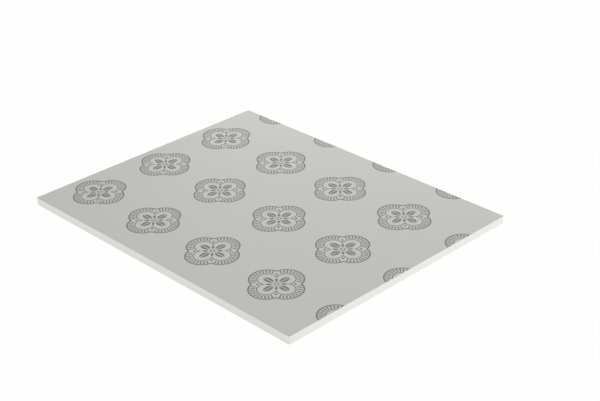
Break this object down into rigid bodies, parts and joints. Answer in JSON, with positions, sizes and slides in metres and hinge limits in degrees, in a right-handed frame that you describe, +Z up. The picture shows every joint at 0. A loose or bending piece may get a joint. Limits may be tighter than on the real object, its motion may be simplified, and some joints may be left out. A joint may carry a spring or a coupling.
{
  "type": "self-adhesive foam board",
  "caption": "Flat rectangular foam mounting board with a white core and a printed peel-off liner on its adhesive face, for mounting prints.",
  "frame": {"origin": "centre of the back face, on the surface that the board lies on", "axes": "+X along the long side, +Y along the short side, +Z up out of the liner face"},
  "size_m": [0.254, 0.2032, 0.0055],
  "materials": {
    "white_foam": "matte knife-cut foam with white paper on its back",
    "printed_liner": "satin grey release paper with darker grey print"
  },
  "bodies": {
    "root": {"foam_board": "white_foam", "release_liner": "printed_liner"}
  },
  "joints": []
}
